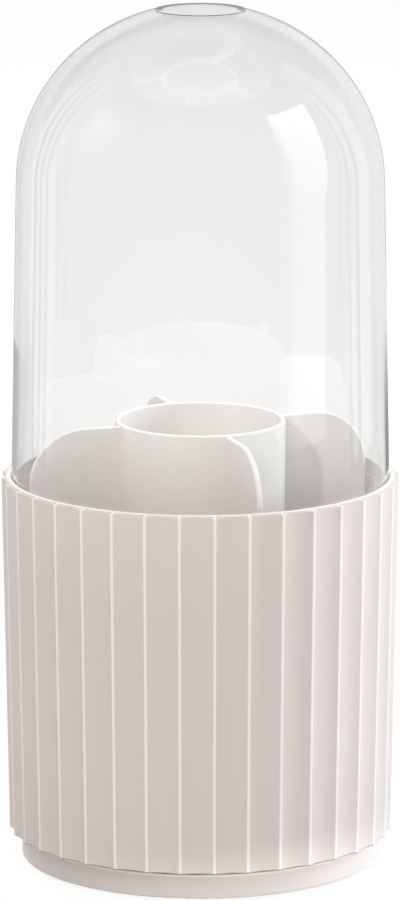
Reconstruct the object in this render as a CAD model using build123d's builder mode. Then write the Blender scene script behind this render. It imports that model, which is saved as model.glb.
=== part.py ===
from build123d import *

import os
from math import acos, asin, atan2, cos, degrees, radians, sin, sqrt, tan

# Rotating makeup organizer: a fluted drum turns on a round foot with a ball bearing,
# a divider with a centre cup lifts out of the drum, and a clear dome lifts off its rim.
# Millimetres, +Z up. The origin is on the table, on the turning axis, and the
# divider's fins lie along X and Y.

os.makedirs("parts", exist_ok=True)

# Foot
foot_radius = 60.0
foot_height = 8.3
foot_wall = 2.0
foot_floor = 2.4
foot_edge_round = 0.8
foot_top_round = 0.3
foot_rib_count = 8
foot_rib_thickness = 1.6
foot_inner_ring_radius = 24.0

# Rubber pads under the foot
pad_count = 4
pad_radius = 6.0
pad_thickness = 1.8
pad_lift = 0.8
pad_edge_margin = 6.0
pad_fit = 0.2
pad_round = 0.3

# Ball bearing
ball_count = 12
ball_radius = 2.5
ball_circle_radius = 42.0
race_depth = 1.0
race_clearance = 0.1
track_half_width = 4.2
cage_thickness = 1.6
cage_half_width = 4.4
cage_clearance = 0.12

# Centre pivot
post_radius = 6.0
post_collar_width = 4.0
bush_clearance = 0.05
bush_wall = 2.0
bush_flange_width = 1.6
bush_flange_thickness = 0.8
hub_height = 0.8
hub_wall = 4.0
end_float = 0.3
washer_radius = 9.0
washer_thickness = 1.0
pivot_screw_radius = 2.0
pivot_screw_length = 11.0
pivot_head_radius = 4.0
pivot_head_height = 2.2
screw_end_clearance = 1.0
head_clearance = 0.3
thread_clearance = 0.05
drive_slot_width = 0.9
drive_slot_depth = 1.1

# Turntable plate and the screws that hold it under the drum
plate_thickness = 2.4
plate_edge_clearance = 2.0
plate_screw_count = 4
plate_screw_radius = 1.5
plate_screw_length = 6.4
plate_screw_head_radius = 2.8
countersink_angle = 90.0
plate_screw_angle = 45.0
plate_screw_margin = 5.5
boss_radius = 4.2
support_ring_radius = 34.0
support_ring_thickness = 1.8

# Drum shell
running_gap = 1.0
drum_radius = 66.3
drum_height = 120.4
drum_taper = 2.1
drum_wall = 4.9
wall_draft = 0.6
drum_floor = 2.4
access_hole_radius = 13.0
flute_count = 36
flute_depth = 1.1
crest_round = 0.6
crest_bevel = 0.3
crest_top_bevel = 0.1
rim_band = 0.4
rim_inset = 0.35
rim_round = 0.35

# Seat for the dome inside the rim
rim_wall = 1.59
seat_depth = 5.0
seat_clearance = 0.25
rest_gap = 0.3

# Divider: centre cup, four fins and a floor
divider_floor = 1.8
divider_clearance = 1.25
divider_rest_gap = 0.2
cup_rise = 18.8
cup_radius = 28.3
cup_taper = 1.0
cup_wall = 1.6
cup_rim_round = 0.6
fin_count = 4
fin_thickness = 1.8
fin_drop = 0.5
fin_corner_radius = 18.0
fin_edge_round = 0.6

# Keys on the drum floor that turn the divider with the drum
key_count = 4
key_angle = 45.0
key_width = 3.0
key_length = 3.2
key_root = 0.95
key_height = 4.5
key_clearance = 0.3

# Dome cover
dome_wall = 1.5
dome_draft = 1.17
dome_shoulder_rise = 98.3
dome_crown_rise = 59.0
dome_lip_round = 0.4
crown_radius = 14.8
crown_step = 0.2
crown_thickness = 2.0
crown_edge_round = 0.08

# Levels, from the table up
foot_bottom = pad_lift
foot_top = foot_bottom + foot_height
ball_level = foot_top - race_depth + ball_radius + race_clearance
plate_bottom = 2 * ball_level - foot_top
plate_top = plate_bottom + plate_thickness
hub_top = plate_top + hub_height
post_top = hub_top + bush_flange_thickness + end_float
washer_top = post_top + washer_thickness
head_top = washer_top + pivot_head_height
floor_top = head_top + head_clearance
floor_bottom = floor_top - drum_floor
drum_bottom = foot_top + running_gap
rim_level = drum_bottom + drum_height
flute_top = rim_level - rim_band
ledge_level = rim_level - seat_depth
divider_bottom = floor_top + divider_rest_gap
divider_floor_top = divider_bottom + divider_floor
cup_top = rim_level + cup_rise
fin_top = cup_top - fin_drop
dome_bottom = ledge_level + rest_gap
dome_centre = rim_level + dome_shoulder_rise


def crest_radius_at(level):
    """Radius of the flute crests, which lean in a little towards the bottom edge."""
    return drum_radius - drum_taper * (rim_level - level) / drum_height


def inner_radius_at(level):
    """Radius of the drum's inner face, which its draft opens towards the rim."""
    return drum_radius - drum_wall - tan(radians(wall_draft)) * (rim_level - level)


# Radii that follow from the fits
rim_radius = crest_radius_at(flute_top) - crest_top_bevel - flute_depth - rim_inset
seat_radius = rim_radius - rim_wall
dome_base_radius = seat_radius - seat_clearance
divider_radius = inner_radius_at(floor_top) - divider_clearance
plate_radius = inner_radius_at(drum_bottom) - plate_edge_clearance
plate_screw_circle = plate_radius - plate_screw_margin
bush_bore_radius = post_radius + bush_clearance
bush_outer_radius = bush_bore_radius + bush_wall
bush_flange_radius = bush_outer_radius + bush_flange_width
hub_radius = bush_outer_radius + hub_wall
track_inner_radius = ball_circle_radius - track_half_width
track_outer_radius = ball_circle_radius + track_half_width
pad_circle_radius = foot_radius - pad_edge_margin - pad_radius
race_section_radius = ball_radius + race_clearance


def ring_sketch(level, outer, inner):
    """Flat ring on a level plane."""
    with BuildSketch(Plane.XY.offset(level)) as ring:
        Circle(outer)
        Circle(inner, mode=Mode.SUBTRACT)
    return ring.sketch


def race_section():
    """Round section of the ball groove, in the XZ plane."""
    with BuildSketch(Plane.XZ) as section:
        with Locations((ball_circle_radius, ball_level)):
            Circle(race_section_radius)
    return section.sketch


# Foot shell: a shallow tray with the ball track, ribs and the pivot post
with BuildPart() as foot_shell:
    with BuildSketch(Plane.XY.offset(foot_bottom)):
        Circle(foot_radius)
    extrude(amount=foot_floor)
    fillet(foot_shell.edges().group_by(Axis.Z)[0], foot_edge_round)
    add(ring_sketch(foot_bottom + foot_floor, foot_radius, foot_radius - foot_wall))
    extrude(amount=foot_height - foot_floor)
    fillet(foot_shell.edges().group_by(Axis.Z)[-1].sort_by(SortBy.RADIUS)[-1], foot_top_round)
    add(ring_sketch(foot_bottom, track_outer_radius, track_inner_radius))
    extrude(amount=foot_height)
    add(ring_sketch(foot_bottom, foot_inner_ring_radius, foot_inner_ring_radius - foot_wall))
    extrude(amount=foot_height - race_depth)
    with BuildSketch(Plane.XY.offset(foot_bottom)):
        with PolarLocations(0, foot_rib_count):
            Rectangle(foot_radius - foot_wall / 2, foot_rib_thickness, align=(Align.MIN, Align.CENTER))
    extrude(amount=foot_height - race_depth)
    with BuildSketch(Plane.XY.offset(foot_bottom)):
        Circle(post_radius)
    extrude(amount=post_top - foot_bottom)
    with BuildSketch(Plane.XY.offset(foot_bottom)):
        Circle(post_radius + post_collar_width)
    extrude(amount=foot_height)
    add(race_section())
    revolve(axis=Axis.Z, mode=Mode.SUBTRACT)
    with BuildSketch(Plane.XY.offset(post_top)):
        Circle(pivot_screw_radius + thread_clearance)
    extrude(amount=-(pivot_screw_length + screw_end_clearance), mode=Mode.SUBTRACT)
    with BuildSketch(Plane.XY.offset(foot_bottom)):
        with PolarLocations(pad_circle_radius, pad_count):
            Circle(pad_radius + pad_fit)
    extrude(amount=pad_thickness - pad_lift, mode=Mode.SUBTRACT)
foot_shell.part.label = "foot_shell"
export_step(foot_shell.part, "parts/foot_shell.step")

# Rubber pads in the recesses of the foot
for number in range(1, pad_count + 1):
    pad_angle = radians(360 / pad_count * (number - 1))
    pad_centre = (pad_circle_radius * cos(pad_angle), pad_circle_radius * sin(pad_angle))
    with BuildPart() as foot_pad:
        with BuildSketch():
            with Locations(pad_centre):
                Circle(pad_radius)
        extrude(amount=pad_thickness)
        fillet(foot_pad.edges().group_by(Axis.Z)[0], pad_round)
    foot_pad.part.label = f"foot_pad_{number}"
    export_step(foot_pad.part, f"parts/foot_pad_{number}.step")

# Ball cage: a flat ring that spaces the balls
with BuildPart() as ball_cage:
    with BuildSketch(Plane.XY.offset(ball_level - cage_thickness / 2)):
        Circle(ball_circle_radius + cage_half_width)
        Circle(ball_circle_radius - cage_half_width, mode=Mode.SUBTRACT)
        with PolarLocations(ball_circle_radius, ball_count):
            Circle(ball_radius + cage_clearance, mode=Mode.SUBTRACT)
    extrude(amount=cage_thickness)
ball_cage.part.label = "ball_cage"
export_step(ball_cage.part, "parts/ball_cage.step")

# Bearing balls, one in each pocket of the cage
for number in range(1, ball_count + 1):
    ball_angle = radians(360 / ball_count * (number - 1))
    ball_x = ball_circle_radius * cos(ball_angle)
    ball_y = ball_circle_radius * sin(ball_angle)
    with BuildPart() as bearing_ball:
        with Locations((ball_x, ball_y, ball_level)):
            Sphere(ball_radius)
    bearing_ball.part.label = f"bearing_ball_{number:02d}"
    export_step(bearing_ball.part, f"parts/bearing_ball_{number:02d}.step")

# Turntable plate: carries the upper ball groove and the pivot bush
with BuildPart() as turntable_plate:
    with BuildSketch(Plane.XY.offset(plate_bottom)):
        Circle(plate_radius)
    extrude(amount=plate_thickness)
    with BuildSketch(Plane.XY.offset(plate_top)):
        Circle(hub_radius)
    extrude(amount=hub_height)
    with BuildSketch(Plane.XY.offset(plate_bottom)):
        Circle(bush_outer_radius)
    extrude(amount=plate_thickness + hub_height, mode=Mode.SUBTRACT)
    add(race_section())
    revolve(axis=Axis.Z, mode=Mode.SUBTRACT)
    with Locations(Plane(origin=(0, 0, plate_bottom), z_dir=(0, 0, -1))):
        with PolarLocations(plate_screw_circle, plate_screw_count, plate_screw_angle):
            CounterSinkHole(
                radius=plate_screw_radius + thread_clearance,
                counter_sink_radius=plate_screw_head_radius + thread_clearance,
                depth=plate_thickness,
                counter_sink_angle=countersink_angle,
            )
turntable_plate.part.label = "turntable_plate"
export_step(turntable_plate.part, "parts/turntable_plate.step")

# Pivot bush: plain bearing in the plate's hub, flanged on top
with BuildPart() as pivot_bush:
    with BuildSketch(Plane.XY.offset(plate_bottom)):
        Circle(bush_outer_radius)
    extrude(amount=hub_top - plate_bottom)
    with BuildSketch(Plane.XY.offset(hub_top)):
        Circle(bush_flange_radius)
    extrude(amount=bush_flange_thickness)
    with BuildSketch(Plane.XY.offset(plate_bottom)):
        Circle(bush_bore_radius)
    extrude(amount=hub_top + bush_flange_thickness - plate_bottom, mode=Mode.SUBTRACT)
pivot_bush.part.label = "pivot_bush"
export_step(pivot_bush.part, "parts/pivot_bush.step")

# Pivot washer: sits on the post and keeps the drum from lifting off the balls
with BuildPart() as pivot_washer:
    add(ring_sketch(post_top, washer_radius, pivot_screw_radius + thread_clearance))
    extrude(amount=washer_thickness)
pivot_washer.part.label = "pivot_washer"
export_step(pivot_washer.part, "parts/pivot_washer.step")

# Pivot screw: pan head with a cross recess
with BuildPart() as pivot_screw:
    with BuildSketch(Plane.XY.offset(washer_top)):
        Circle(pivot_screw_radius)
    extrude(amount=-pivot_screw_length)
    with BuildSketch(Plane.XY.offset(washer_top)):
        Circle(pivot_head_radius)
    extrude(amount=pivot_head_height)
    fillet(pivot_screw.edges().group_by(Axis.Z)[-1], pivot_head_height / 2)
    with BuildSketch(Plane.XY.offset(head_top)):
        with PolarLocations(0, 2, angular_range=180):
            Rectangle(pivot_head_radius, drive_slot_width)
    extrude(amount=-drive_slot_depth, mode=Mode.SUBTRACT)
pivot_screw.part.label = "pivot_screw"
export_step(pivot_screw.part, "parts/pivot_screw.step")

# Plate screws: countersunk, driven up through the plate into the drum's bosses
with BuildPart() as plate_screw:
    with BuildSketch(Plane.XZ):
        with BuildLine():
            Polyline(
                (0, plate_bottom),
                (plate_screw_head_radius, plate_bottom),
                (plate_screw_radius, plate_bottom + plate_screw_head_radius - plate_screw_radius),
                (plate_screw_radius, plate_bottom + plate_screw_length),
                (0, plate_bottom + plate_screw_length),
                close=True,
            )
        make_face()
    revolve(axis=Axis.Z)
    with BuildSketch(Plane.XY.offset(plate_bottom)):
        with PolarLocations(0, 2, angular_range=180):
            Rectangle(plate_screw_head_radius, drive_slot_width)
    extrude(amount=drive_slot_depth, mode=Mode.SUBTRACT)
with BuildPart() as plate_screws:
    with PolarLocations(plate_screw_circle, plate_screw_count, plate_screw_angle):
        add(plate_screw.part)
plate_screws.part.label = "plate_screws"
export_step(plate_screws.part, "parts/plate_screws.step")


def polar(radius, angle):
    """Point at a radius and an angle in degrees."""
    return (radius * cos(radians(angle)), radius * sin(radians(angle)))


def fluted_outline(level, crest_radius):
    """Closed outline of hollow flutes between rounded crests.

    Each flute is one arc whose circle lies outside the drum and is tangent to the
    small rounding circles of the two crests beside it.
    """
    half_pitch = 180 / flute_count
    crest_centre = crest_radius - crest_round
    valley_radius = crest_radius - flute_depth
    reach = crest_centre * cos(radians(half_pitch))
    flute_radius = (
        crest_round**2 - valley_radius**2 - crest_centre**2 + 2 * valley_radius * reach
    ) / (2 * (valley_radius - reach - crest_round))
    flute_centre = valley_radius + flute_radius
    share = crest_round / (crest_round + flute_radius)
    touch_x = crest_centre + share * (flute_centre * cos(radians(half_pitch)) - crest_centre)
    touch_y = share * flute_centre * sin(radians(half_pitch))
    touch_radius = sqrt(touch_x**2 + touch_y**2)
    touch_angle = degrees(atan2(touch_y, touch_x))
    with BuildSketch(Plane.XY.offset(level)) as outline:
        with BuildLine():
            for flute in range(flute_count):
                crest_angle = (2 * flute + 1) * half_pitch
                valley_angle = crest_angle + half_pitch
                next_crest = valley_angle + half_pitch
                flute_start = polar(touch_radius, crest_angle + touch_angle)
                ThreePointArc(
                    polar(touch_radius, crest_angle - touch_angle),
                    polar(crest_radius, crest_angle),
                    flute_start,
                )
                ThreePointArc(
                    flute_start,
                    polar(valley_radius, valley_angle),
                    polar(touch_radius, next_crest - touch_angle),
                )
        make_face()
    return outline.sketch


# Drum shell: fluted wall, thin plain lip, seat for the dome, floor, bosses and keys
with BuildPart() as drum_shell:
    add(fluted_outline(drum_bottom, crest_radius_at(drum_bottom) - crest_bevel))
    add(fluted_outline(drum_bottom + crest_bevel, crest_radius_at(drum_bottom)))
    add(fluted_outline(flute_top - crest_top_bevel, crest_radius_at(flute_top)))
    add(fluted_outline(flute_top, crest_radius_at(flute_top) - crest_top_bevel))
    loft(ruled=True)
    with BuildSketch(Plane.XY.offset(flute_top)):
        Circle(rim_radius)
    extrude(amount=rim_band)
    fillet(drum_shell.edges().group_by(Axis.Z)[-1], rim_round)
    with BuildSketch(Plane.XZ):
        with BuildLine():
            Polyline(
                (0, floor_top),
                (inner_radius_at(floor_top), floor_top),
                (inner_radius_at(ledge_level), ledge_level),
                (seat_radius, ledge_level),
                (seat_radius, rim_level),
                (0, rim_level),
                close=True,
            )
        make_face()
    revolve(axis=Axis.Z, mode=Mode.SUBTRACT)
    with BuildSketch(Plane.XZ):
        with BuildLine():
            Polyline(
                (0, drum_bottom),
                (inner_radius_at(drum_bottom), drum_bottom),
                (inner_radius_at(floor_bottom), floor_bottom),
                (0, floor_bottom),
                close=True,
            )
        make_face()
    revolve(axis=Axis.Z, mode=Mode.SUBTRACT)
    with BuildSketch(Plane.XY.offset(plate_top)):
        with PolarLocations(plate_screw_circle, plate_screw_count, plate_screw_angle):
            Circle(boss_radius)
    extrude(amount=floor_bottom - plate_top)
    add(ring_sketch(plate_top, support_ring_radius, support_ring_radius - support_ring_thickness))
    extrude(amount=floor_bottom - plate_top)
    with BuildSketch(Plane.XY.offset(plate_top)):
        with PolarLocations(plate_screw_circle, plate_screw_count, plate_screw_angle):
            Circle(plate_screw_radius + thread_clearance)
    extrude(amount=plate_bottom + plate_screw_length + head_clearance - plate_top, mode=Mode.SUBTRACT)
    with BuildSketch(Plane.XY.offset(floor_bottom)):
        Circle(access_hole_radius)
    extrude(amount=drum_floor, mode=Mode.SUBTRACT)
    with BuildSketch(Plane.XY.offset(floor_top)):
        with PolarLocations(inner_radius_at(floor_top), key_count, key_angle):
            Rectangle(2 * key_length, key_width)
        Circle(inner_radius_at(floor_top) + key_root, mode=Mode.INTERSECT)
    extrude(amount=key_height)
drum_shell.part.label = "drum_shell"
export_step(drum_shell.part, "parts/drum_shell.step")


def is_free_edge(edge):
    """True for the edges of a fin that stay open, clear of the cup and the floor."""
    centre = edge.center()
    return centre.X > fin_thickness and centre.Z > divider_floor_top


# One fin of the divider: a plate with a large rounded outer corner
with BuildPart() as fin:
    with BuildSketch(Plane.XZ):
        with BuildLine():
            corner_start = (divider_radius, fin_top - fin_corner_radius)
            corner_end = (divider_radius - fin_corner_radius, fin_top)
            Line((0, divider_bottom), (divider_radius, divider_bottom))
            Line((divider_radius, divider_bottom), corner_start)
            RadiusArc(corner_start, corner_end, -fin_corner_radius)
            Line(corner_end, (0, fin_top))
            Line((0, fin_top), (0, divider_bottom))
        make_face()
    extrude(amount=fin_thickness / 2, both=True)
    free_edges = fin.edges().filter_by(Axis.Y, reverse=True).filter_by(is_free_edge)
    fillet(free_edges, fin_edge_round)

# Divider insert: floor, four fins and the centre cup in one moulding
with BuildPart() as divider_insert:
    with BuildSketch(Plane.XY.offset(divider_bottom)):
        Circle(divider_radius)
    extrude(amount=divider_floor)
    with PolarLocations(0, fin_count):
        add(fin.part)
    with BuildSketch(Plane.XZ):
        with BuildLine():
            Polyline(
                (0, divider_bottom),
                (cup_radius - cup_taper, divider_bottom),
                (cup_radius, cup_top),
                (0, cup_top),
                close=True,
            )
        make_face()
    revolve(axis=Axis.Z)
    with BuildSketch(Plane.XZ):
        with BuildLine():
            Polyline(
                (0, divider_floor_top),
                (cup_radius - cup_taper - cup_wall, divider_floor_top),
                (cup_radius - cup_wall, cup_top),
                (0, cup_top),
                close=True,
            )
        make_face()
    revolve(axis=Axis.Z, mode=Mode.SUBTRACT)
    fillet(divider_insert.edges().group_by(Axis.Z)[-1], cup_rim_round)
    with BuildSketch(Plane.XY.offset(divider_bottom)):
        with PolarLocations(inner_radius_at(floor_top), key_count, key_angle):
            Rectangle(2 * (key_length + key_clearance), key_width + 2 * key_clearance)
    extrude(amount=key_height + key_clearance, mode=Mode.SUBTRACT)
divider_insert.part.label = "divider_insert"
export_step(divider_insert.part, "parts/divider_insert.step")


# Dome cover: a drafted wall that runs tangent into an elliptical crown with a flat disc
lean = tan(radians(dome_draft))
wall_radius_at_centre = dome_base_radius - lean * (dome_centre - dome_bottom)


def dome_section(inset, flat_level):
    """Curves of one face of the dome, from its lower edge up to the crown's flat."""
    line_radius = wall_radius_at_centre - inset
    height = dome_crown_rise - inset
    width = sqrt(line_radius**2 - (lean * height) ** 2)
    start_angle = degrees(atan2(lean * height / line_radius, width / line_radius))
    end_angle = degrees(asin((flat_level - dome_centre) / height))
    crown = EllipticalCenterArc(
        (0, dome_centre), width, height, start_angle=start_angle, arc_size=end_angle - start_angle
    )
    wall = Line((dome_base_radius - inset, dome_bottom), crown @ 0)
    return wall, crown


crown_width = sqrt(wall_radius_at_centre**2 - (lean * dome_crown_rise) ** 2)
crown_edge_level = dome_centre + dome_crown_rise * sin(acos(crown_radius / crown_width))
dome_top = crown_edge_level + crown_step
with BuildPart() as dome_cover:
    with BuildSketch(Plane.XZ):
        with BuildLine():
            outer_wall, outer_crown = dome_section(0, crown_edge_level)
            inner_wall, inner_crown = dome_section(dome_wall, dome_top - crown_thickness)
            Polyline(
                outer_crown @ 1,
                (crown_radius, dome_top),
                (0, dome_top),
                (0, dome_top - crown_thickness),
                inner_crown @ 1,
            )
            Line(inner_wall @ 0, outer_wall @ 0)
        make_face()
    revolve(axis=Axis.Z)
    fillet(dome_cover.edges().group_by(Axis.Z)[0], dome_lip_round)
    fillet(dome_cover.edges().group_by(Axis.Z)[-1], crown_edge_round)
dome_cover.part.label = "dome_cover"
export_step(dome_cover.part, "parts/dome_cover.step")

print(f"rim {rim_level:.2f}, cup {cup_top:.2f}, dome {dome_top:.2f}, floor {floor_top:.2f}")
print(f"divider radius {divider_radius:.2f}, dome base radius {dome_base_radius:.2f}")
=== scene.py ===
from math import acos, atan2, cos, pi, radians, sin, sqrt, tan

import bpy
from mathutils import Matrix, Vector


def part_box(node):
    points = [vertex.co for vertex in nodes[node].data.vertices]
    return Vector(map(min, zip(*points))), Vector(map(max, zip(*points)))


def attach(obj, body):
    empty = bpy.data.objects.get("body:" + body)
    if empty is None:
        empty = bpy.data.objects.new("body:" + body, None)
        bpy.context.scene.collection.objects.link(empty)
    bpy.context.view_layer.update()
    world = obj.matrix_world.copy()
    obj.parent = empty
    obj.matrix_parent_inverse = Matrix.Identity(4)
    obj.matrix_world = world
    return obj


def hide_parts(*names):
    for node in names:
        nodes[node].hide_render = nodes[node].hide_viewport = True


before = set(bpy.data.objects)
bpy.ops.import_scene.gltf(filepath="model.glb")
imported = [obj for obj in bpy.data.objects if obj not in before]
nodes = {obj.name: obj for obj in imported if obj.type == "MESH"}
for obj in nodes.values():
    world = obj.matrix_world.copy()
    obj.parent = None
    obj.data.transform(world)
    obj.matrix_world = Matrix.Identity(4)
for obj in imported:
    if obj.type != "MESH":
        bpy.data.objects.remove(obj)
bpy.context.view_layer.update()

# Rotating makeup organizer: a fluted drum on a ball-bearing foot, a lift-out divider
# and a clear dome. Metres, +Z up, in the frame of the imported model.

rim_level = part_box("drum_shell")[1][2]
cup_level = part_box("divider_insert")[1][2]
drum_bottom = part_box("drum_shell")[0][2]
seam_width = 0.001
foot_top = drum_bottom - seam_width
flute_count = 36.0

# Camera, fitted to the rim, the foot and the crown in the photograph
camera_distance = 2.0313
camera_height = 0.5769
camera_bearing = radians(-109.1)
camera_pitch = radians(12.179)
camera_lens = 250.0
camera_sensor = 36.0
camera_near = 0.05
camera_far = 50.0
long_side_px = 900
axis_offset_px = 0.39


def around(turn, distance, height):
    """Point at a distance from the turning axis, at a turn in degrees from the camera to its right."""
    angle = camera_bearing + radians(turn)
    return Vector((distance * cos(angle), distance * sin(angle), height))


def add_object(name, data):
    """Puts a new object in the scene."""
    thing = bpy.data.objects.new(name, data)
    bpy.context.scene.collection.objects.link(thing)
    return thing


def add_camera():
    data = bpy.data.cameras.new("camera")
    data.lens = camera_lens
    data.sensor_width = camera_sensor
    data.shift_x = -axis_offset_px / long_side_px
    data.clip_start = camera_near
    data.clip_end = camera_far
    camera = add_object("camera", data)
    camera.location = around(0, camera_distance, camera_height)
    camera.rotation_euler = (radians(90) - camera_pitch, 0, camera_bearing + radians(90))
    bpy.context.scene.camera = camera


# Helpers for node trees

def new_material(name):
    """Empty material with its output, and the tree to build in."""
    material = bpy.data.materials.new(name)
    material.use_nodes = True
    tree = material.node_tree
    tree.nodes.clear()
    return material, tree, tree.nodes.new("ShaderNodeOutputMaterial")


def feed(tree, socket, source):
    """Links a socket to an output, or sets its value."""
    if isinstance(source, bpy.types.NodeSocket):
        tree.links.new(source, socket)
    else:
        socket.default_value = source


def math_node(tree, operation, first, second=0.0):
    node = tree.nodes.new("ShaderNodeMath")
    node.operation = operation
    feed(tree, node.inputs[0], first)
    feed(tree, node.inputs[1], second)
    return node.outputs[0]


def clipped(tree, value):
    """Holds a mask between 0 and 1."""
    return math_node(tree, "MINIMUM", math_node(tree, "MAXIMUM", value, 0.0), 1.0)


def mix_colour(tree, factor, first, second):
    """Mixes two colours. The colour sockets of the node are its inputs 6 and 7 and its output 2."""
    node = tree.nodes.new("ShaderNodeMix")
    node.data_type = "RGBA"
    feed(tree, node.inputs["Factor"], factor)
    feed(tree, node.inputs[6], first)
    feed(tree, node.inputs[7], second)
    return node.outputs[2]


def mix_shaders(tree, factor, first, second):
    """Shows the first shader where the factor is 0, and the second where it is 1."""
    node = tree.nodes.new("ShaderNodeMixShader")
    feed(tree, node.inputs[0], factor)
    tree.links.new(first.outputs[0], node.inputs[1])
    tree.links.new(second.outputs[0], node.inputs[2])
    return node.outputs[0]


def map_range(tree, value, low, high, to_low=0.0, to_high=1.0):
    node = tree.nodes.new("ShaderNodeMapRange")
    feed(tree, node.inputs["Value"], value)
    node.inputs["From Min"].default_value = low
    node.inputs["From Max"].default_value = high
    node.inputs["To Min"].default_value = to_low
    node.inputs["To Max"].default_value = to_high
    return node.outputs[0]


def object_place(tree):
    """Place on the object, in metres."""
    return tree.nodes.new("ShaderNodeTexCoord").outputs["Object"]


def surface_normal(tree):
    return tree.nodes.new("ShaderNodeNewGeometry").outputs["Normal"]


def along_axes(tree, vector):
    """The outputs X, Y and Z of a vector."""
    node = tree.nodes.new("ShaderNodeSeparateXYZ")
    tree.links.new(vector, node.inputs[0])
    return node.outputs


def noise(tree, scale, detail):
    node = tree.nodes.new("ShaderNodeTexNoise")
    node.inputs["Detail"].default_value = detail
    tree.links.new(object_place(tree), node.inputs["Vector"])
    tree.links.new(scale, node.inputs["Scale"])
    return node.outputs["Fac"]


def new_group(name, inputs, outputs):
    """Node group with named float inputs, given with their defaults, and named outputs."""
    tree = bpy.data.node_groups.new(name, "ShaderNodeTree")
    for label, value in inputs.items():
        socket = tree.interface.new_socket(label, in_out="INPUT", socket_type="NodeSocketFloat")
        socket.default_value = value
    for label in outputs:
        tree.interface.new_socket(label, in_out="OUTPUT", socket_type="NodeSocketFloat")
    return tree, tree.nodes.new("NodeGroupInput"), tree.nodes.new("NodeGroupOutput")


def place(tree, group, **values):
    """Places a group in a material with its own values. Spaces in input names are written as _."""
    node = tree.nodes.new("ShaderNodeGroup")
    node.node_tree = group
    for label, value in values.items():
        feed(tree, node.inputs[label.replace("_", " ")], value)
    return node


# Effects that several finishes share

grain_detail = 2.0
mottle_detail = 3.0
speck_detail = 6.0
crest_offset = 0.5
edge_softness = 0.2
seam_shade_contrast = 2.0
dust_slope = 0.6
speck_low = 0.5
speck_high = 0.75


def moulded_grain_group():
    """Fine spark-eroded grain of a mould, and the slow mottling of the plastic."""
    inputs = {"Grain": 1800.0, "Mottle": 22.0}
    tree, inside, outside = new_group("moulded_grain", inputs, ["Height", "Cloud"])
    tree.links.new(noise(tree, inside.outputs["Grain"], grain_detail), outside.inputs["Height"])
    tree.links.new(noise(tree, inside.outputs["Mottle"], mottle_detail), outside.inputs["Cloud"])
    return tree


def painted_crest_highlight_group():
    """Mask of the narrow crest between each two flutes, where a highlight is painted in a lighter colour.
    """
    inputs = {"Count": flute_count, "Half Width": 0.05, "Softness": 0.02}
    tree, inside, outside = new_group("painted_crest_highlights", inputs, ["Crest"])
    here = along_axes(tree, object_place(tree))
    angle = math_node(tree, "ARCTAN2", here["Y"], here["X"])
    turns = math_node(tree, "DIVIDE", angle, 2 * pi)
    flutes = math_node(tree, "MULTIPLY", turns, inside.outputs["Count"])
    across = math_node(tree, "FRACT", math_node(tree, "ADD", flutes, inside.outputs["Count"]))
    from_crest = math_node(tree, "ABSOLUTE", math_node(tree, "SUBTRACT", across, crest_offset))
    inward = math_node(tree, "SUBTRACT", inside.outputs["Half Width"], from_crest)
    mask = math_node(tree, "DIVIDE", inward, inside.outputs["Softness"])
    tree.links.new(clipped(tree, mask), outside.inputs["Crest"])
    return tree


def painted_edge_highlight_group():
    """Mask of the upper edge of a wall, where a highlight is painted in a lighter colour.

    It grows over the reach below the level, and where the normal points up more than the steepness.
    """
    inputs = {"Level": 0.1, "Reach": 0.001, "Steepness": 0.25}
    tree, inside, outside = new_group("painted_edge_highlight", inputs, ["Edge"])
    height = along_axes(tree, object_place(tree))["Z"]
    below = math_node(tree, "SUBTRACT", inside.outputs["Level"], height)
    near = math_node(tree, "SUBTRACT", 1.0, math_node(tree, "DIVIDE", below, inside.outputs["Reach"]))
    facing = along_axes(tree, surface_normal(tree))["Z"]
    steeper = math_node(tree, "SUBTRACT", facing, inside.outputs["Steepness"])
    upward = map_range(tree, steeper, -edge_softness, edge_softness)
    tree.links.new(math_node(tree, "MULTIPLY", clipped(tree, near), upward), outside.inputs["Edge"])
    return tree


def painted_seam_shade_group():
    """Mask of painted shade along the seam between two pieces, within a reach of its level."""
    tree, inside, outside = new_group("painted_seam_shade", {"Level": 0.01, "Reach": 0.0005}, ["Grime"])
    height = along_axes(tree, object_place(tree))["Z"]
    away = math_node(tree, "ABSOLUTE", math_node(tree, "SUBTRACT", height, inside.outputs["Level"]))
    near = math_node(tree, "SUBTRACT", 1.0, math_node(tree, "DIVIDE", away, inside.outputs["Reach"]))
    mask = clipped(tree, math_node(tree, "MULTIPLY", near, seam_shade_contrast))
    tree.links.new(mask, outside.inputs["Grime"])
    return tree


def dust_group():
    """Mask of faint dust that settles on faces that look up."""
    tree, inside, outside = new_group("settled_dust", {"Scale": 160.0, "Amount": 0.5}, ["Dust"])
    specks = noise(tree, inside.outputs["Scale"], speck_detail)
    upward = map_range(tree, along_axes(tree, surface_normal(tree))["Z"], dust_slope, 1.0)
    both = math_node(tree, "MULTIPLY", upward, map_range(tree, specks, speck_low, speck_high))
    tree.links.new(math_node(tree, "MULTIPLY", both, inside.outputs["Amount"]), outside.inputs["Dust"])
    return tree


grain = moulded_grain_group()
painted_crest_highlight = painted_crest_highlight_group()
painted_edge_highlight = painted_edge_highlight_group()
painted_seam_shade = painted_seam_shade_group()
dust = dust_group()


# Finishes

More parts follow.
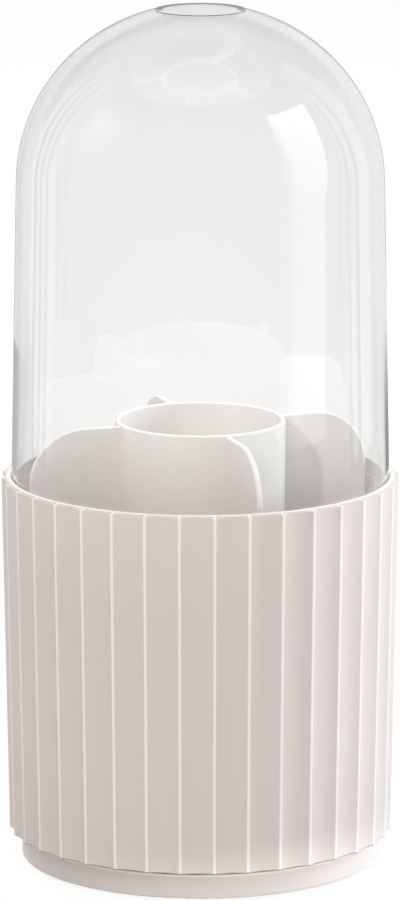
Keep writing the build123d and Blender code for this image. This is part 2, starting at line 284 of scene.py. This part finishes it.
off_white_dark = (0.685, 0.645, 0.622, 1)
off_white_light = (0.715, 0.675, 0.652, 1)
# Painted highlights: the flute crests and the rim lip, then the top of the foot wall
off_white_crest_highlight = (0.93, 0.895, 0.865, 1)
off_white_shoulder_highlight = (0.995, 0.965, 0.935, 1)
off_white_dust = (0.90, 0.88, 0.86, 1)
# Painted shade along the seam under the drum
seam_shade_colour = (0.24, 0.215, 0.19, 1)
white_dark = (0.915, 0.905, 0.885, 1)
white_light = (0.945, 0.935, 0.92, 1)
white_dust = (0.80, 0.78, 0.76, 1)
# Painted highlight on the upward faces near the top of the divider
white_lip_highlight = (0.98, 0.97, 0.955, 1)
clear_tint = (0.978, 0.98, 0.98, 1)
clear_passing = (0.985, 0.985, 0.985, 1)
rubber_dark = (0.10, 0.10, 0.10, 1)
rubber_light = (0.19, 0.185, 0.18, 1)
acetal_dark = (0.74, 0.74, 0.71, 1)
acetal_light = (0.84, 0.83, 0.79, 1)
ball_dark = (0.55, 0.56, 0.57, 1)
ball_light = (0.68, 0.69, 0.70, 1)
zinc_dark = (0.50, 0.52, 0.55, 1)
zinc_light = (0.62, 0.63, 0.65, 1)
moulded_ior = 1.5
clear_ior = 1.49
mask_low = 0.3
mask_high = 0.7


def principled(tree, output):
    shader = tree.nodes.new("ShaderNodeBsdfPrincipled")
    tree.links.new(shader.outputs[0], output.inputs["Surface"])
    return shader


def fine_skin(tree, shader, grain_scale, mottle_scale, depth, strength=1.0):
    """Places the grain, which shapes the normal of the shader, and hands it on for its two masks."""
    skin = place(tree, grain, Grain=grain_scale, Mottle=mottle_scale)
    relief = tree.nodes.new("ShaderNodeBump")
    relief.inputs["Distance"].default_value = depth
    relief.inputs["Strength"].default_value = strength
    tree.links.new(skin.outputs["Height"], relief.inputs["Height"])
    tree.links.new(relief.outputs[0], shader.inputs["Normal"])
    return skin


def vary_roughness(tree, shader, mask, smoothest, roughest):
    """Roughness that follows a mask."""
    roughness = map_range(tree, mask, mask_low, mask_high, smoothest, roughest)
    tree.links.new(roughness, shader.inputs["Roughness"])


def off_white_plastic(name, fluted):
    """Satin warm off-white moulding of the drum, the plate and the foot."""
    material, tree, output = new_material(name)
    shader = principled(tree, output)
    skin = fine_skin(tree, shader, grain_scale=1600.0, mottle_scale=18.0, depth=0.00001, strength=0.5)
    colour = mix_colour(tree, skin.outputs["Cloud"], off_white_dark, off_white_light)
    if fluted:
        # Painted highlights: lighter colour on the crests between the flutes and on the upward face of the
        # rim lip.
        lines = place(tree, painted_crest_highlight, Count=flute_count, Half_Width=0.055, Softness=0.03)
        lip_highlight = place(tree, painted_edge_highlight, Level=rim_level, Reach=0.0005, Steepness=0.75)
        light = math_node(tree, "MAXIMUM", lines.outputs["Crest"], lip_highlight.outputs["Edge"])
        colour = mix_colour(tree, light, colour, off_white_crest_highlight)
    else:
        # Painted highlight: lighter colour along the top of the foot wall.
        shoulder_highlight = place(tree, painted_edge_highlight, Level=foot_top, Reach=0.0012, Steepness=-0.5)
        colour = mix_colour(tree, shoulder_highlight.outputs["Edge"], colour, off_white_shoulder_highlight)
    specks = place(tree, dust, Scale=220.0, Amount=0.25)
    colour = mix_colour(tree, specks.outputs["Dust"], colour, off_white_dust)
    # Painted shade: a dark line along the seam at the bottom edge of the drum.
    seam = place(tree, painted_seam_shade, Level=drum_bottom, Reach=0.0005)
    colour = mix_colour(tree, seam.outputs["Grime"], colour, seam_shade_colour)
    tree.links.new(colour, shader.inputs["Base Color"])
    vary_roughness(tree, shader, skin.outputs["Cloud"], smoothest=0.36, roughest=0.46)
    shader.inputs["IOR"].default_value = moulded_ior
    return material


def white_plastic(name):
    """Semi-gloss white moulding of the divider."""
    material, tree, output = new_material(name)
    shader = principled(tree, output)
    skin = fine_skin(tree, shader, grain_scale=2600.0, mottle_scale=14.0, depth=0.000006, strength=0.4)
    colour = mix_colour(tree, skin.outputs["Cloud"], white_dark, white_light)
    specks = place(tree, dust, Scale=260.0, Amount=0.3)
    colour = mix_colour(tree, specks.outputs["Dust"], colour, white_dust)
    # Painted highlight: lighter colour on the upward faces within reach below the top of the divider.
    lip_highlight = place(tree, painted_edge_highlight, Level=cup_level, Reach=0.03, Steepness=0.25)
    colour = mix_colour(tree, lip_highlight.outputs["Edge"], colour, white_lip_highlight)
    tree.links.new(colour, shader.inputs["Base Color"])
    vary_roughness(tree, shader, skin.outputs["Cloud"], smoothest=0.22, roughest=0.3)
    shader.inputs["IOR"].default_value = moulded_ior
    return material


def clear_plastic(name):
    """Clear polished moulding of the dome. Lamps and soft light pass it to reach what is inside."""
    material, tree, output = new_material(name)
    glass = tree.nodes.new("ShaderNodeBsdfPrincipled")
    skin = place(tree, grain, Grain=900.0, Mottle=10.0)
    haze = map_range(tree, skin.outputs["Cloud"], low=0.35, high=0.75, to_high=0.008)
    tree.links.new(haze, glass.inputs["Roughness"])
    glass.inputs["Base Color"].default_value = clear_tint
    glass.inputs["IOR"].default_value = clear_ior
    glass.inputs["Transmission Weight"].default_value = 1.0
    passing = tree.nodes.new("ShaderNodeBsdfTransparent")
    passing.inputs["Color"].default_value = clear_passing
    path = tree.nodes.new("ShaderNodeLightPath")
    lit = math_node(tree, "MAXIMUM", path.outputs["Is Shadow Ray"], path.outputs["Is Diffuse Ray"])
    tree.links.new(mix_shaders(tree, lit, glass, passing), output.inputs["Surface"])
    return material


def rubber(name):
    """Dull grey rubber of the pads."""
    material, tree, output = new_material(name)
    shader = principled(tree, output)
    skin = fine_skin(tree, shader, grain_scale=2200.0, mottle_scale=60.0, depth=0.00004)
    colour = mix_colour(tree, skin.outputs["Cloud"], rubber_dark, rubber_light)
    tree.links.new(colour, shader.inputs["Base Color"])
    vary_roughness(tree, shader, skin.outputs["Height"], smoothest=0.7, roughest=0.9)
    return material


def acetal(name):
    """Natural acetal of the ball cage and the bush."""
    material, tree, output = new_material(name)
    shader = principled(tree, output)
    skin = fine_skin(tree, shader, grain_scale=1200.0, mottle_scale=40.0, depth=0.00001, strength=0.4)
    colour = mix_colour(tree, skin.outputs["Cloud"], acetal_dark, acetal_light)
    tree.links.new(colour, shader.inputs["Base Color"])
    vary_roughness(tree, shader, skin.outputs["Cloud"], smoothest=0.28, roughest=0.4)
    return material


def steel(name, dark, light, smoothest, roughest):
    """Polished balls, or zinc-plated washers and screws."""
    material, tree, output = new_material(name)
    shader = principled(tree, output)
    skin = fine_skin(tree, shader, grain_scale=1500.0, mottle_scale=120.0, depth=0.000004, strength=0.5)
    tree.links.new(mix_colour(tree, skin.outputs["Cloud"], dark, light), shader.inputs["Base Color"])
    vary_roughness(tree, shader, skin.outputs["Cloud"], smoothest, roughest)
    shader.inputs["Metallic"].default_value = 1.0
    return material


def dress(finish, *names):
    """Gives CAD nodes their finish."""
    for name in names:
        node = nodes[name]
        node.data.materials.clear()
        node.data.materials.append(finish)


drum_finish = off_white_plastic("drum_satin_off_white", fluted=True)
foot_finish = off_white_plastic("foot_satin_off_white", fluted=False)
divider_finish = white_plastic("divider_gloss_white")
dome_finish = clear_plastic("dome_clear")
pad_finish = rubber("pad_rubber_grey")
acetal_finish = acetal("bearing_acetal")
ball_finish = steel("ball_polished_steel", ball_dark, ball_light, smoothest=0.06, roughest=0.14)
zinc_finish = steel("zinc_plated_steel", zinc_dark, zinc_light, smoothest=0.28, roughest=0.42)

dress(drum_finish, "drum_shell")
dress(foot_finish, "foot_shell", "turntable_plate")
dress(divider_finish, "divider_insert")
dress(dome_finish, "dome_cover")
dress(acetal_finish, "ball_cage", "pivot_bush")
dress(zinc_finish, "pivot_washer", "pivot_screw", "plate_screws")
dress(pad_finish, *[name for name in nodes if name.startswith("foot_pad")])
dress(ball_finish, *[name for name in nodes if name.startswith("bearing_ball")])


# Dome: a fine turned mesh in the place of the CAD solid, because clear walls show every facet

dome_base_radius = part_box("dome_cover")[1][0]
dome_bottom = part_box("dome_cover")[0][2]
dome_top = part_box("dome_cover")[1][2]
dome_wall = 0.0015
dome_lean = tan(radians(1.17))
crown_above_rim = 0.0983
dome_centre = rim_level + crown_above_rim
dome_crown_rise = 0.059
dome_lip_round = 0.0004

# Flat disc on the crown. Its inner face is smaller, so that the clear crown throws no dark ring.
# A narrow ring at the edge of each flat keeps the smooth shading of the crown off the flat.
crown_radius = 0.0148
crown_flat_radius = 0.0126
crown_edge_round = 0.00004
flat_margin = 0.0003

dome_wall_steps = 24
dome_crown_steps = 90
crown_edge_steps = 4
lip_steps = 6
dome_segments = 288
sharp_from = radians(40)


def arc(centre_r, centre_z, radius, start, stop, steps):
    """Points of an arc in the plane of the section, from one angle to another in degrees."""
    points = []
    for step in range(steps + 1):
        angle = radians(start + (stop - start) * step / steps)
        points.append((centre_r + radius * cos(angle), centre_z + radius * sin(angle)))
    return points


def dome_face(inset, top_radius):
    """Points of one face of the dome, up its straight wall and round the crown to a radius."""
    line_radius = dome_base_radius - dome_lean * (dome_centre - dome_bottom) - inset
    height = dome_crown_rise - inset
    width = sqrt(line_radius ** 2 - (dome_lean * height) ** 2)
    start = atan2(dome_lean * height, width)
    stop = acos(top_radius / width)
    joint = (width * cos(start), dome_centre + height * sin(start))
    low = (dome_base_radius - inset - dome_lean * dome_lip_round, dome_bottom + dome_lip_round)
    points = []
    for step in range(dome_wall_steps):
        share = step / dome_wall_steps
        points.append((low[0] + (joint[0] - low[0]) * share, low[1] + (joint[1] - low[1]) * share))
    for step in range(dome_crown_steps + 1):
        angle = start + (stop - start) * step / dome_crown_steps
        points.append((width * cos(angle), dome_centre + height * sin(angle)))
    return points


def dome_section():
    """Half section of the dome, from the middle of its top down the outer face and up the inner one."""
    outer = dome_face(0.0, crown_radius)
    inner = dome_face(dome_wall, crown_flat_radius)
    edge_start = crown_radius - crown_edge_round
    top_edge = [(0.0, dome_top), (edge_start - flat_margin, dome_top)]
    top_edge += arc(edge_start, dome_top - crown_edge_round, crown_edge_round, 90, 0, crown_edge_steps)
    lip_level = dome_bottom + dome_lip_round
    outer_lip = arc(outer[0][0] - dome_lip_round, lip_level, dome_lip_round, 0, -90, lip_steps)
    inner_lip = arc(inner[0][0] + dome_lip_round, lip_level, dome_lip_round, -90, -180, lip_steps)
    crown_ceiling = [(crown_flat_radius - flat_margin, inner[-1][1]), (0.0, inner[-1][1])]
    outside = top_edge + outer[::-1] + outer_lip[1:]
    inside = inner_lip + inner[1:] + crown_ceiling
    return outside + inside


def turned_mesh(name, section, segments):
    """Closed mesh that a half section draws when it turns once about the axis."""
    points, faces, rings = [], [], []
    for r, z in section:
        if r == 0.0:
            rings.append([len(points)] * segments)
            points.append((0.0, 0.0, z))
        else:
            rings.append(list(range(len(points), len(points) + segments)))
            for segment in range(segments):
                angle = 2 * pi * segment / segments
                points.append((r * cos(angle), r * sin(angle), z))
    for upper, lower in zip(rings, rings[1:]):
        for segment in range(segments):
            following = (segment + 1) % segments
            corners = (upper[segment], lower[segment], lower[following], upper[following])
            faces.append(tuple(dict.fromkeys(corners)))
    mesh = bpy.data.meshes.new(name)
    mesh.from_pydata(points, [], faces)
    mesh.shade_smooth()
    mesh.set_sharp_from_angle(angle=sharp_from)
    return add_object(name, mesh)


clear_dome = turned_mesh("clear_dome", dome_section(), dome_segments)
clear_dome.data.materials.append(dome_finish)
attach(clear_dome, "dome")
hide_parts("dome_cover")


# Stage: pale floor, white surroundings, a studio that only reflections show, and soft lamps

white = (1, 1, 1, 1)
floor_radius = 8.0
floor_corners = 64
floor_roughness = 0.9
floor_albedo = 0.8
seen_floor_albedo = 0.12
seen_floor_glow = 0.895
ambient = (0.672, 0.634, 0.602, 1)
above_zero = 0.5

# Walls of the studio. Turns are in degrees from the camera to its right, and a level of 1 is white.
full_turn = (-180.0, 180.0)
panel_step = 2.5
wall_radius = 0.8
wall_height = 1.6
cloth_end = 65.0
pale_from = 165.0
cloth_brightness = 0.03
pale_brightness = 0.95
fade_low = 0.45
fade_high = 0.9
high_share = 0.18
left_shade_from = 90.0
left_shade_full = 130.0
left_shade_back = 40.0
left_shade_share = 0.82
ceiling_brightness = 0.12
ceiling_hole = 0.01
mat_inner_radius = 0.075
mat_height = 0.0005
cloth_foot = 0.001

# Grey strip on the wall behind the object
grey_strip_from = 162.0
grey_strip_edge = 8.0
grey_strip_low = 0.15
grey_strip_high = 0.6
grey_strip_share = 0.4

# Window, which leans to the right and has a slanting upper edge
window_low_arc = (41.0, 79.0)
window_high_arc = (57.5, 93.5)
window_radius = 0.78
window_foot = 0.02
window_top = 0.95
window_slant = 0.14
window_soft_from = 50.0
window_soft_to = 62.0
window_low = 1.5
window_high = 4.8

# Soft glow on the left wall
glow_arc = (-100.0, -52.0)
glow_edge = 24.0
glow_radius = 0.79
glow_foot = 0.35
glow_top = 1.1
left_glow = 1.6

# Dark flags, and the paler cloth behind them on both sides
flag_radius = 0.75
flag_height = 1.15
flag_width = 3.0
flag_turns = (-121.0, -114.0, -107.5, 102.0, 111.0)
line_cloth_radius = 0.77
line_cloth_start = 96.0
line_cloth_stop = 128.0
line_cloth_edge = 4.0
line_cloth_left = 0.5
line_cloth_right = 0.62

# Low grey cloths behind the object, left and right
low_cloth_radius = 0.35
low_cloth_left_arc = (-170.0, -118.0)
low_cloth_left_top = 0.112
low_cloth_left = 0.55
low_cloth_right_arc = (147.0, 170.0)
low_cloth_right_top = 0.13
low_cloth_right = 0.35
low_cloth_fade = 0.6


def seen_directly(tree):
    """1 for camera rays and for what glossy and clear pieces show, and 0 for light on the object."""
    path = tree.nodes.new("ShaderNodeLightPath")
    seen = math_node(tree, "MAXIMUM", path.outputs["Is Camera Ray"], path.outputs["Is Glossy Ray"])
    return math_node(tree, "MAXIMUM", seen, path.outputs["Is Transmission Ray"])


def add_floor():
    bpy.ops.mesh.primitive_circle_add(vertices=floor_corners, radius=floor_radius, fill_type="NGON")
    floor = bpy.context.object
    floor.name = "floor"
    material, tree, output = new_material("pale_floor")
    shader = principled(tree, output)
    seen = seen_directly(tree)
    lighting = (floor_albedo, floor_albedo, floor_albedo, 1)
    looks = (seen_floor_albedo, seen_floor_albedo, seen_floor_albedo, 1)
    tree.links.new(mix_colour(tree, seen, lighting, looks), shader.inputs["Base Color"])
    shader.inputs["Roughness"].default_value = floor_roughness
    shader.inputs["Specular IOR Level"].default_value = 0.0
    shader.inputs["Emission Color"].default_value = white
    glow = math_node(tree, "MULTIPLY", seen, seen_floor_glow)
    tree.links.new(glow, shader.inputs["Emission Strength"])
    floor.data.materials.append(material)


def add_world():
    """Surroundings that light the object softly and look white."""
    world = bpy.data.worlds.new("white_surroundings")
    bpy.context.scene.world = world
    world.use_nodes = True
    tree = world.node_tree
    tree.nodes.clear()
    output = tree.nodes.new("ShaderNodeOutputWorld")
    soft = tree.nodes.new("ShaderNodeBackground")
    soft.inputs["Color"].default_value = ambient
    backdrop = tree.nodes.new("ShaderNodeBackground")
    backdrop.inputs["Color"].default_value = white
    tree.links.new(mix_shaders(tree, seen_directly(tree), soft, backdrop), output.inputs["Surface"])


def reflected_glow(name):
    """Glow for what stands round the object. It shows in reflections alone.

    A ray that has only passed clear walls goes on through it. The outer face of a clear wall shows
    the attribute outer, and every face behind it the attribute inner.
    """
    material, tree, output = new_material(name)
    levels = []
    for label in ("outer", "inner"):
        level = tree.nodes.new("ShaderNodeAttribute")
        level.attribute_name = label
        levels.append(level.outputs["Fac"])
    path = tree.nodes.new("ShaderNodeLightPath")
    behind = math_node(tree, "GREATER_THAN", path.outputs["Transmission Depth"], above_zero)
    change = math_node(tree, "MULTIPLY", behind, math_node(tree, "SUBTRACT", levels[1], levels[0]))
    light = tree.nodes.new("ShaderNodeEmission")
    tree.links.new(math_node(tree, "ADD", levels[0], change), light.inputs["Strength"])
    passing = tree.nodes.new("ShaderNodeBsdfTransparent")
    straight = math_node(tree, "LESS_THAN", path.outputs["Glossy Depth"], above_zero)
    through = math_node(tree, "MULTIPLY", straight, path.outputs["Is Transmission Ray"])
    tree.links.new(mix_shaders(tree, through, light, passing), output.inputs["Surface"])
    return material


studio_glow = reflected_glow("studio_glow")


def add_studio_piece(name, points, faces, outer, inner):
    """Piece of the studio that only reflections show, with its two brightness levels at each point."""
    mesh = bpy.data.meshes.new(name)
    mesh.from_pydata(points, [], faces)
    for label, values in (("outer", outer), ("inner", inner)):
        mesh.attributes.new(label, "FLOAT", "POINT").data.foreach_set("value", values)
    mesh.materials.append(studio_glow)
    piece = add_object(name, mesh)
    piece.visible_camera = False
    piece.visible_diffuse = False
    piece.visible_shadow = False
    piece.visible_volume_scatter = False


def add_panel(name, low, high, outer, inner, rows=1, slant=0.0):
    """Curved panel between two arcs, each given as (turn, turn, radius, height).

    The levels are functions of the turn and of the share of the way from the first arc to the second.
    The slant is how far the second arc falls from its start to its end.
    """
    columns = max(2, round(max(abs(low[1] - low[0]), abs(high[1] - high[0])) / panel_step))
    points, outer_levels, inner_levels = [], [], []
    for row in range(rows + 1):
        rise = row / rows
        start, stop, radius, height = (a + (b - a) * rise for a, b in zip(low, high))
        for column in range(columns + 1):
            share = column / columns
            turn = start + (stop - start) * share
            points.append(around(turn, radius, height + slant * rise * (0.5 - share)))
            outer_levels.append(outer(turn, rise))
            inner_levels.append(inner(turn, rise))
    width = columns + 1
    faces = []
    for row in range(rows):
        for column in range(columns):
            corner = row * width + column
            faces.append((corner, corner + 1, corner + width + 1, corner + width))
    add_studio_piece(name, points, faces, outer_levels, inner_levels)


def upright(ends, radius, foot, top):
    """Lower and upper arc of a panel that stands upright."""
    return (*ends, radius, foot), (*ends, radius, top)


def smooth(value, low, high):
    """Smooth step from 0 at low to 1 at high."""
    share = min(1.0, max(0.0, (value - low) / (high - low)))
    return share * share * (3 - 2 * share)


def wall_level(turn, height=0.0):
    """Dark cloth in front, and pale walls beside and behind the object, darker high up and on the left."""
    beyond_cloth = smooth(abs(turn), cloth_end, pale_from)
    level = cloth_brightness + (pale_brightness - cloth_brightness) * beyond_cloth
    left = smooth(-turn, left_shade_from, left_shade_full) * smooth(180 + turn, 0, left_shade_back)
    high = smooth(height, fade_low, fade_high)
    return level * (1 - (1 - high_share) * high) * (1 - (1 - left_shade_share) * left)


def outline_level(turn, height=0.0):
    """The walls as the outer face of the dome shows them. A grey strip behind draws its outline."""
    grey = smooth(abs(turn), grey_strip_from, grey_strip_from + grey_strip_edge)
    grey *= 1 - smooth(height, grey_strip_low, grey_strip_high)
    return wall_level(turn, height) * (1 - (1 - grey_strip_share) * grey)


def plain_level(level):
    """One level all over a panel."""
    return lambda turn, rise: level


def low_wall_level(turn, rise):
    """The walls at floor level, at any share of the way up."""
    return wall_level(turn)


def window_level(turn, rise):
    """The window is brightest at its top, and its left edge is soft."""
    glow = window_low + (window_high - window_low) * rise
    return wall_level(turn) + glow * smooth(turn, window_soft_from, window_soft_to)


def glow_level(turn, rise):
    """Soft patch of light on the left wall, which fades out on all sides."""
    start, stop = glow_arc
    across = smooth(turn, start, start + glow_edge) * smooth(-turn, -stop, -stop + glow_edge)
    upwards = smooth(rise, 0.0, 0.5) * smooth(1 - rise, 0.0, 0.5)
    return wall_level(turn) + left_glow * across * upwards


def line_cloth_level(turn, rise):
    """Paler cloth behind the flags, which show before it as fine lines beside the outline of the dome."""
    ends = smooth(abs(turn), line_cloth_start, line_cloth_start + line_cloth_edge)
    ends *= smooth(line_cloth_stop - abs(turn), 0, line_cloth_edge)
    glow = line_cloth_right if turn > 0 else line_cloth_left
    return wall_level(turn, rise * flag_height) + glow * ends


def right_cloth_level(turn, rise):
    """The low cloth on the right is dark at its foot and fades into the pale wall at its top."""
    return low_cloth_right + (pale_brightness - low_cloth_right) * smooth(rise, low_cloth_fade, 1.0)


def add_studio():
    """Walls, ceiling and floor mat, a window on the right, a glow on the left, flags and low cloths."""
    add_panel("studio_wall", *upright(full_turn, wall_radius, 0.0, wall_height),
              lambda turn, rise: outline_level(turn, rise * wall_height),
              lambda turn, rise: wall_level(turn, rise * wall_height), rows=32)
    add_panel("studio_mat", (*full_turn, mat_inner_radius, mat_height),
              (*full_turn, wall_radius, mat_height),
              lambda turn, rise: outline_level(turn), low_wall_level)
    ceiling = plain_level(ceiling_brightness)
    add_panel("studio_ceiling", (*full_turn, wall_radius, wall_height),
              (*full_turn, ceiling_hole, wall_height),
              ceiling, ceiling)
    add_panel("window", (*window_low_arc, window_radius, window_foot),
              (*window_high_arc, window_radius, window_top),
              window_level, low_wall_level, rows=8, slant=window_slant)
    add_panel("left_glow", *upright(glow_arc, glow_radius, glow_foot, glow_top),
              glow_level, low_wall_level, rows=12)
    for side, sign in (("left", -1), ("right", 1)):
        ends = (sign * line_cloth_start, sign * line_cloth_stop)
        add_panel(f"line_cloth_{side}", *upright(ends, line_cloth_radius, cloth_foot, flag_height),
                  line_cloth_level, lambda turn, rise: wall_level(turn, rise * flag_height), rows=12)
    dark = plain_level(0.0)
    for number, turn in enumerate(flag_turns, 1):
        ends = (turn - flag_width / 2, turn + flag_width / 2)
        add_panel(f"flag_{number}", *upright(ends, flag_radius, cloth_foot, flag_height), dark, dark)
    left_low = plain_level(low_cloth_left)
    add_panel("low_cloth_left",
              *upright(low_cloth_left_arc, low_cloth_radius, cloth_foot, low_cloth_left_top),
              left_low, left_low)
    add_panel("low_cloth_right",
              *upright(low_cloth_right_arc, low_cloth_radius, cloth_foot, low_cloth_right_top),
              right_cloth_level, right_cloth_level, rows=12)


# Lamps. Each aims at a height on the turning axis.

def hang_lamp(name, data, turn, distance, height, aim_height):
    """Hangs a lamp that lights the object. Reflections show the studio in its place."""
    lamp = add_object(name, data)
    lamp.location = around(turn, distance, height)
    aim = Vector((0, 0, aim_height)) - lamp.location
    lamp.rotation_mode = "QUATERNION"
    lamp.rotation_quaternion = aim.to_track_quat("-Z", "Y")
    lamp.visible_camera = False
    lamp.visible_transmission = False
    lamp.visible_glossy = False


def add_softbox(name, turn, distance, height, width, tall, power, colour, aim_height=0.12):
    """Soft lamp that aims at the drum."""
    data = bpy.data.lights.new(name, "AREA")
    data.shape = "RECTANGLE"
    data.size = width
    data.size_y = tall
    data.energy = power
    data.color = colour
    hang_lamp(name, data, turn, distance, height, aim_height)


def add_spot(name, turn, distance, height, aim_height, width, power, fade, size, colour):
    """Lamp with a cone of light, its width in degrees. The edge of the cone fades over a share of it."""
    data = bpy.data.lights.new(name, "SPOT")
    data.spot_size = radians(width)
    data.spot_blend = fade
    data.shadow_soft_size = size
    data.energy = power
    data.color = colour
    hang_lamp(name, data, turn, distance, height, aim_height)


add_camera()
add_floor()
add_world()
add_studio()
add_softbox("right_key", turn=108, distance=1.4, height=0.55, width=0.5, tall=0.8,
            power=16.0, colour=(0.87, 0.94, 1.0))
add_softbox("back_light", turn=-150, distance=1.4, height=0.9, width=0.6, tall=0.8,
            power=8.5, colour=(1.0, 0.97, 0.94))
add_softbox("top_light", turn=-20, distance=0.7, height=1.4, width=0.8, tall=0.8,
            power=6.7, colour=(1.0, 0.97, 0.95))
add_spot("cup_light", turn=-30, distance=1.05, height=0.77, aim_height=0.162, width=5.8,
         power=18.0, fade=0.5, size=0.04, colour=(1.0, 0.97, 0.94))

# It aims far down, so that its cone ends just above the seam and lights little more than the foot.
add_spot("foot_light", turn=38, distance=1.0, height=0.05, aim_height=-0.574, width=60.0,
         power=11.0, fade=0.02, size=0.006, colour=(1.0, 0.98, 0.96))

scene = bpy.context.scene
scene.view_settings.view_transform = "Standard"
